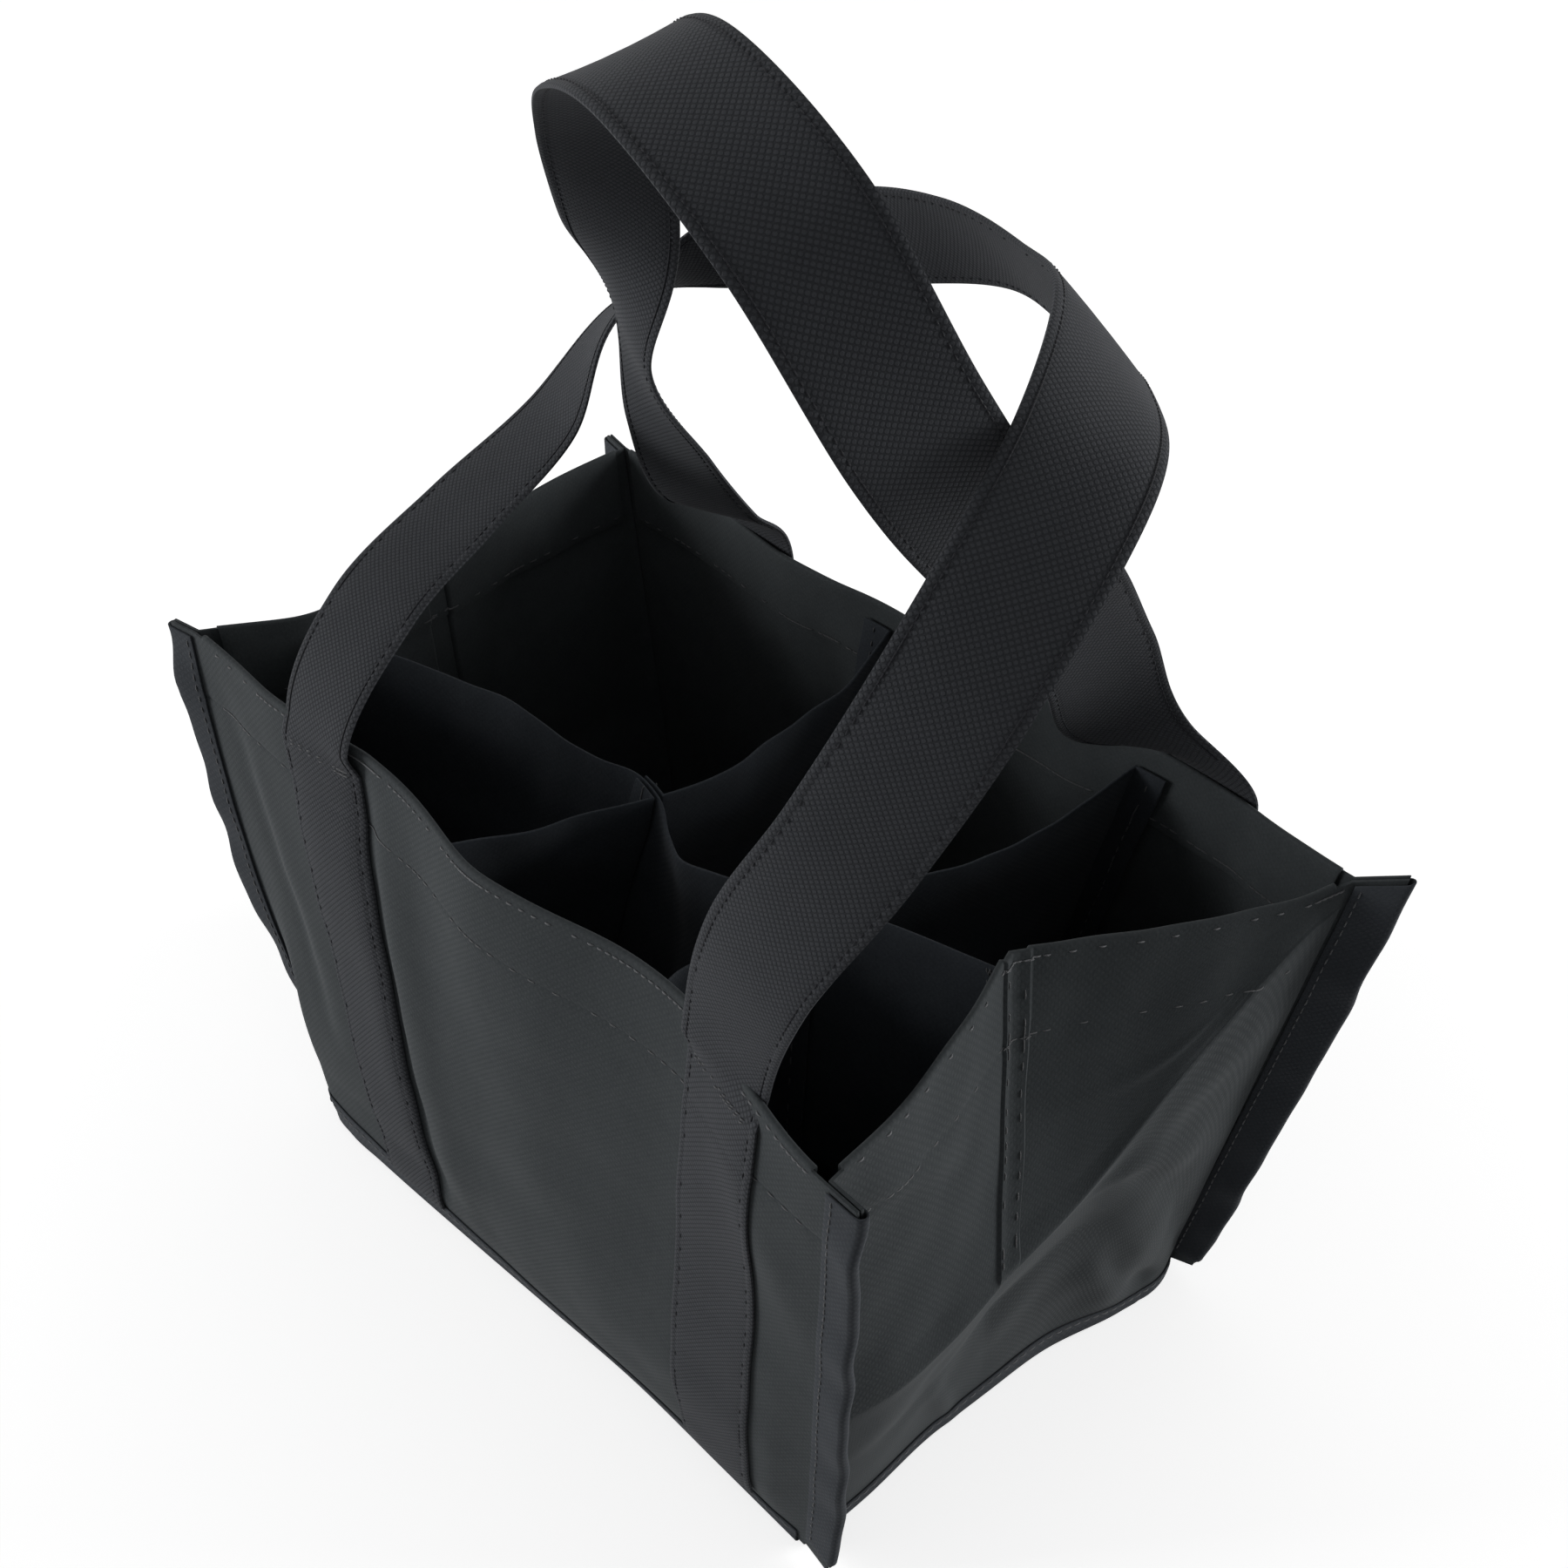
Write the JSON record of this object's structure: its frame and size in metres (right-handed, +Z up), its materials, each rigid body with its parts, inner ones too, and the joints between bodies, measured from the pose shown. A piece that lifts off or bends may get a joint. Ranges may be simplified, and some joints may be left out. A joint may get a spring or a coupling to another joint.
{
  "type": "bottle tote",
  "caption": "Open-topped fabric tote with divided cells for bottles, end walls folded inwards, bound seams and a pair of threaded strap handles.",
  "frame": {"origin": "middle of the base, on the ground", "axes": "+Z up; +X along the bag to the right, seen from its front; -Y towards the front"},
  "size_m": [0.2802, 0.1539, 0.3434],
  "materials": {
    "fabric": "matte black non-woven polypropylene",
    "binding": "matte black seam tape",
    "webbing": "black strap with a fine square emboss",
    "board": "plain black stiffener board",
    "thread": "tight black stitching"
  },
  "bodies": {
    "bag": {"front_panel": "fabric", "back_panel": "fabric", "left_gusset": "fabric", "right_gusset": "fabric", "bottom_panel": "fabric", "base_board": "board", "long_divider": "fabric", "cross_divider_left_front": "fabric", "cross_divider_left_back": "fabric", "cross_divider_right_front": "fabric", "cross_divider_right_back": "fabric", "binding_front_left": "binding", "binding_front_right": "binding", "binding_back_right": "binding", "binding_back_left": "binding", "foot_binding_front": "binding", "foot_binding_right": "binding", "foot_binding_back": "binding", "foot_binding_left": "binding", "strap_leg_front_left": "webbing", "strap_leg_front_right": "webbing", "strap_leg_back_left": "webbing", "strap_leg_back_right": "webbing", "strap_tack_front_left": "thread", "strap_tack_front_right": "thread", "strap_tack_back_left": "thread", "strap_tack_back_right": "thread", "divider_tack_left": "thread", "divider_tack_right": "thread"},
    "front_handle": {"front_handle": "webbing"},
    "back_handle": {"back_handle": "webbing"}
  },
  "joints": [
    {"name": "front_handle_swing", "type": "hinge", "parent": "bag", "child": "front_handle", "pos_m": [0.0054, -0.0718, 0.1572], "axis": [1, 0, 0], "range_deg": [-8, 0]},
    {"name": "back_handle_swing", "type": "hinge", "parent": "bag", "child": "back_handle", "pos_m": [0.0115, 0.0706, 0.1572], "axis": [1, 0, 0], "range_deg": [0, 5]}
  ]
}
